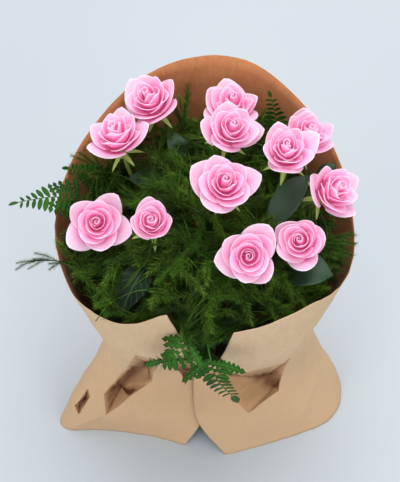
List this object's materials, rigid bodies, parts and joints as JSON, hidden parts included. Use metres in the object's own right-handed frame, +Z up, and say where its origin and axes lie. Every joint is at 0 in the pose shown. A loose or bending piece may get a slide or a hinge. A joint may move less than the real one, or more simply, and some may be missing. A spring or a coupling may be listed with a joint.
{
  "type": "wrapped rose bouquet",
  "caption": "Hand-tied bouquet of pink roses with fern sprays, cut fronds and broad leaves, standing in a flared wrap of brown kraft paper that is open at the front.",
  "frame": {"origin": "centre of the middle rose stem's flat cut end, on the surface that the bouquet stands on", "axes": "+Z up, +X to the viewer's right, +Y away from the viewer, so the paper's opening faces -Y"},
  "size_m": [0.3791, 0.3453, 0.4205],
  "materials": {
    "rose_petal": "soft matte petal",
    "rose_green": "satin green stem",
    "fern_green": "fine matte needles",
    "frond_green": "leathery satin frond",
    "leaf_green": "glossy dark leaf",
    "kraft_paper": "matte kraft paper",
    "twine": "rough jute"
  },
  "bodies": {
    "root": {"rose_01_bloom": "rose_petal", "rose_02_bloom": "rose_petal", "rose_03_bloom": "rose_petal", "rose_04_bloom": "rose_petal", "rose_05_bloom": "rose_petal", "rose_06_bloom": "rose_petal", "rose_07_bloom": "rose_petal", "rose_08_bloom": "rose_petal", "rose_09_bloom": "rose_petal", "rose_10_bloom": "rose_petal", "rose_11_bloom": "rose_petal", "rose_12_bloom": "rose_petal", "rose_01_stem": "rose_green", "rose_02_stem": "rose_green", "rose_03_stem": "rose_green", "rose_04_stem": "rose_green", "rose_05_stem": "rose_green", "rose_06_stem": "rose_green", "rose_07_stem": "rose_green", "rose_08_stem": "rose_green", "rose_09_stem": "rose_green", "rose_10_stem": "rose_green", "rose_11_stem": "rose_green", "rose_12_stem": "rose_green", "fern_spray_01": "fern_green", "fern_spray_02": "fern_green", "fern_spray_03": "fern_green", "fern_spray_04": "fern_green", "fern_spray_05": "fern_green", "fern_spray_06": "fern_green", "fern_spray_07": "fern_green", "fern_spray_08": "fern_green", "fern_spray_09": "fern_green", "fern_spray_10": "fern_green", "fern_spray_11": "fern_green", "fern_spray_12": "fern_green", "frond_01": "frond_green", "frond_02": "frond_green", "frond_03": "frond_green", "frond_04": "frond_green", "frond_05": "frond_green", "leaf_branch_01": "leaf_green", "leaf_branch_02": "leaf_green", "leaf_branch_03": "leaf_green", "leaf_branch_04": "leaf_green", "kraft_paper_wrap": "kraft_paper", "twine_binding": "twine"}
  },
  "joints": []
}
